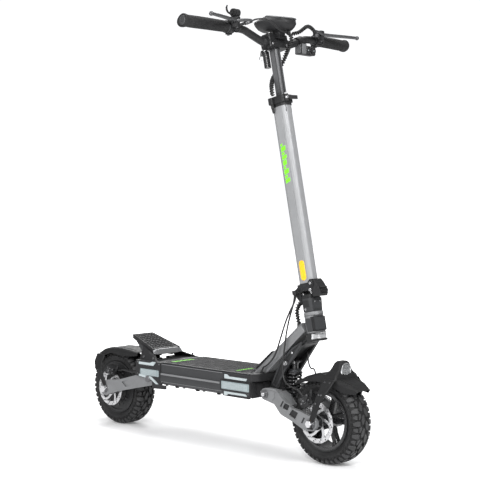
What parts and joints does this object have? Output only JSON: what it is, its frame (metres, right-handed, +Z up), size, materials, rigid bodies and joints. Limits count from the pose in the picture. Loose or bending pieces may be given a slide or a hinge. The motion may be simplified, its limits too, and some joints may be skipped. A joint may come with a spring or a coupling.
{
  "type": "electric kick scooter",
  "caption": "Folding electric kick scooter with a long flat deck, knobbly tyres, sprung swinging arms, a raised foot rest and a telescopic stem.",
  "frame": {"origin": "on the ground, halfway between the axles, in the middle plane", "axes": "+X forward, +Y to the rider's left, +Z up"},
  "size_m": [1.175, 0.728, 1.3267],
  "materials": {
    "stem_silver": "fine metallic grey paint, satin",
    "arm_silver": "metallic grey paint, satin",
    "black_paint": "fine-textured black powder coat on aluminium",
    "anodised_dark": "dark anodised",
    "bright_metal": "bright machined",
    "black_plastic": "moulded, fine grain",
    "soft_black": "moulded rubber",
    "tyre_black": "off-road tread",
    "mat_rubber": "ribbed grip rubber",
    "reflector": "clear ribbed light strip",
    "glass_dark": "polished dark cover",
    "chrome_trim": "polished",
    "disc_steel": "turned",
    "coil_black": "gloss black",
    "cable_black": "smooth sheath",
    "cell_blue": "shrink-wrapped pack"
  },
  "bodies": {
    "frame": {"deck_frame": "black_paint", "battery_pack": "cell_blue", "controller": "anodised_dark", "neck": "arm_silver", "grip_mat": "mat_rubber", "front_covers": "black_plastic", "side_reflectors": "reflector", "head_tube": "arm_silver", "rear_housing": "black_plastic", "frame_pins": "bright_metal", "kick_plate": "black_plastic", "rear_shock_body": "coil_black"},
    "steer": {"fold_base": "black_paint", "fork_crown": "anodised_dark", "fork_bracket": "black_paint", "steering_pins": "bright_metal", "front_shock_body": "coil_black", "steering_cables": "cable_black"},
    "stem": {"stem_tube": "stem_silver", "stem_foot": "black_paint", "stem_collar": "black_paint"},
    "fold_lever": {"fold_lever": "black_paint"},
    "collar_lever": {"collar_lever": "black_paint"},
    "bar": {"handlebar": "black_paint", "grips": "soft_black", "inner_tube": "anodised_dark", "bar_clamp": "black_paint", "key_switch": "black_plastic", "display_housing": "black_plastic", "display_glass": "glass_dark", "control_mounts": "black_paint", "switch_box": "black_plastic", "handlebar_cables": "cable_black"},
    "brake_lever_left": {"brake_lever_left": "anodised_dark"},
    "brake_lever_right": {"brake_lever_right": "anodised_dark"},
    "throttle_lever": {"throttle_lever": "black_plastic"},
    "mode_button": {"mode_button": "black_plastic"},
    "horn_button": {"horn_button": "black_plastic"},
    "front_arm": {"front_arm": "arm_silver", "front_axle": "bright_metal", "front_caliper": "anodised_dark", "front_mudguard": "black_plastic", "headlight": "black_plastic", "front_cables": "cable_black"},
    "front_wheel": {"front_tyre": "tyre_black", "front_rim": "black_paint", "front_disc": "disc_steel"},
    "front_shock_rod": {"front_shock_rod": "coil_black", "front_spring": "coil_black"},
    "rear_arm": {"rear_arm": "arm_silver", "rear_axle": "bright_metal", "rear_caliper": "anodised_dark", "rear_mudguard": "black_plastic", "motor_cable": "cable_black"},
    "rear_wheel": {"rear_tyre": "tyre_black", "rear_hub_motor": "black_paint", "rear_disc": "disc_steel"},
    "rear_shock_rod": {"rear_shock_rod": "coil_black", "rear_spring": "coil_black"},
    "kickstand": {"kickstand": "black_paint"}
  },
  "joints": [
    {"name": "steering", "type": "hinge", "parent": "frame", "child": "steer", "pos_m": [0.381, 0, 0.497], "axis": [-0.2002, 0, 0.9798], "range_deg": [-30, 30], "deforming": ["steering_cables"]},
    {"name": "stem_fold", "type": "hinge", "parent": "steer", "child": "stem", "pos_m": [0.35023, 0, 0.49275], "axis": [0, -1, 0], "range_deg": [0, 88]},
    {"name": "fold_latch", "type": "hinge", "parent": "stem", "child": "fold_lever", "pos_m": [0.39971, 0, 0.52532], "axis": [0, -1, 0], "range_deg": [0, 60]},
    {"name": "collar_cam", "type": "hinge", "parent": "stem", "child": "collar_lever", "pos_m": [0.29858, -0.014, 1.0701], "axis": [-0.2002, 0, 0.9798], "range_deg": [-95, 0]},
    {"name": "bar_height", "type": "slide", "parent": "stem", "child": "bar", "axis": [-0.2002, 0, 0.9798], "range_m": [-0.085, 0.02], "deforming": ["handlebar_cables"]},
    {"name": "left_brake", "type": "hinge", "parent": "bar", "child": "brake_lever_left", "pos_m": [0.264, 0.188, 1.281], "axis": [0, 0, 1], "range_deg": [0, 12], "stiffness_Nm_per_rad": 3, "springref_deg": -2.86},
    {"name": "right_brake", "type": "hinge", "parent": "bar", "child": "brake_lever_right", "pos_m": [0.264, -0.188, 1.281], "axis": [0, 0, -1], "range_deg": [0, 12], "stiffness_Nm_per_rad": 3, "springref_deg": -2.86},
    {"name": "throttle", "type": "hinge", "parent": "bar", "child": "throttle_lever", "pos_m": [0.26, -0.205, 1.303], "axis": [0, 1, 0], "range_deg": [0, 28], "stiffness_Nm_per_rad": 0.6, "springref_deg": -2.86},
    {"name": "mode_press", "type": "slide", "parent": "bar", "child": "mode_button", "axis": [-1, 0, 0], "range_m": [0, 0.0015], "stiffness_N_per_m": 900},
    {"name": "horn_press", "type": "slide", "parent": "bar", "child": "horn_button", "axis": [-1, 0, 0], "range_m": [0, 0.0015], "stiffness_N_per_m": 900},
    {"name": "front_suspension", "type": "hinge", "parent": "steer", "child": "front_arm", "pos_m": [0.272, 0, 0.19], "axis": [0, -1, 0], "range_deg": [0, 10], "stiffness_Nm_per_rad": 300, "springref_deg": -12.61, "deforming": ["front_cables"]},
    {"name": "front_wheel_spin", "type": "hinge", "parent": "front_arm", "child": "front_wheel", "pos_m": [0.46, 0, 0.1275], "axis": [0, 1, 0], "continuous": true},
    {"name": "front_damper", "type": "slide", "parent": "steer", "child": "front_shock_rod", "axis": [0.0556, 0, 0.9985], "range_m": [0, 0.00814], "deforming": ["front_spring"]},
    {"name": "rear_suspension", "type": "hinge", "parent": "frame", "child": "rear_arm", "pos_m": [-0.225, 0, 0.186], "axis": [0, 1, 0], "range_deg": [0, 8], "stiffness_Nm_per_rad": 420, "springref_deg": -11.46, "deforming": ["motor_cable"]},
    {"name": "rear_wheel_spin", "type": "hinge", "parent": "rear_arm", "child": "rear_wheel", "pos_m": [-0.46, 0, 0.1275], "axis": [0, 1, 0], "continuous": true},
    {"name": "rear_damper", "type": "slide", "parent": "frame", "child": "rear_shock_rod", "axis": [-0.3947, 0, 0.9188], "range_m": [0, 0.00589], "deforming": ["rear_spring"]},
    {"name": "kickstand_swing", "type": "hinge", "parent": "frame", "child": "kickstand", "pos_m": [-0.04, 0.084, 0.161], "axis": [0, 1, 0], "range_deg": [0, 100]}
  ],
  "couplings": [
    {"joint": "front_damper", "follows": "front_suspension", "m_per_rad": 0.04435},
    {"joint": "rear_damper", "follows": "rear_suspension", "m_per_rad": 0.039325}
  ]
}
